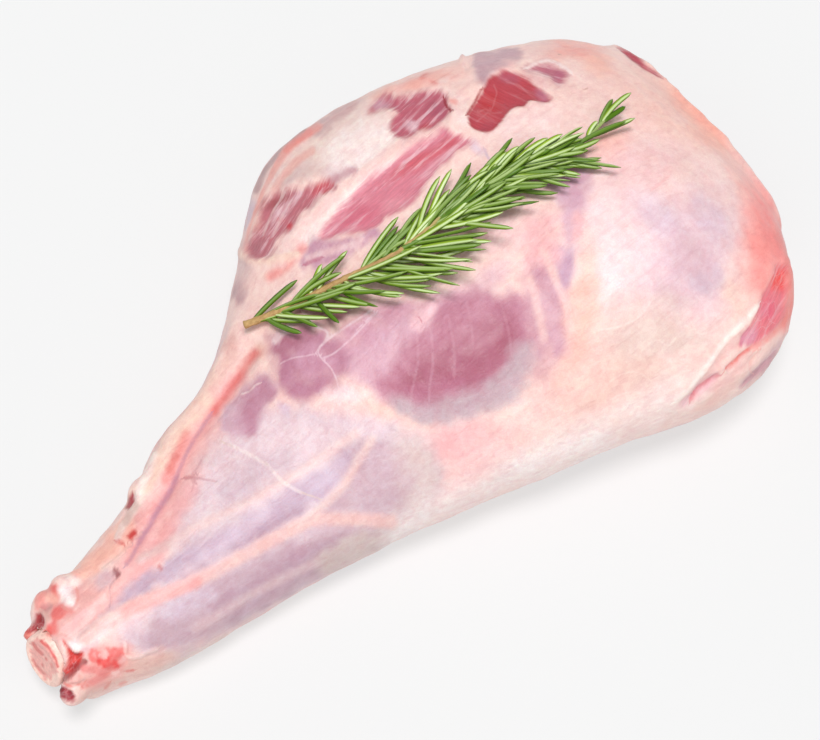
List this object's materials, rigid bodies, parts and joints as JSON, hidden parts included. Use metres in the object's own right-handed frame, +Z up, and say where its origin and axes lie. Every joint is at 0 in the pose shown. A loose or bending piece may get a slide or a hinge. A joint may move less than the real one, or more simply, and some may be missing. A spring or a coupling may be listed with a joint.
{
  "type": "raw leg of lamb",
  "caption": "Raw leg of lamb on its shank bone, broad at the rump and tapering to the sawn shank, with a sprig of fresh rosemary laid along the top",
  "frame": {"origin": "middle of the bounding box, on the flat underside the leg rests on", "axes": "+X runs from the sawn shank to the rump, the longest way; +Y runs to the tendon side of the leg; +Z is up, the shortest way"},
  "size_m": [0.3878, 0.2238, 0.1053],
  "materials": {
    "lamb": "satin",
    "bone": "satin",
    "rosemary": "satin"
  },
  "bodies": {
    "root": {"leg": "lamb", "shank_bone": "bone", "rosemary": "rosemary"}
  },
  "joints": []
}
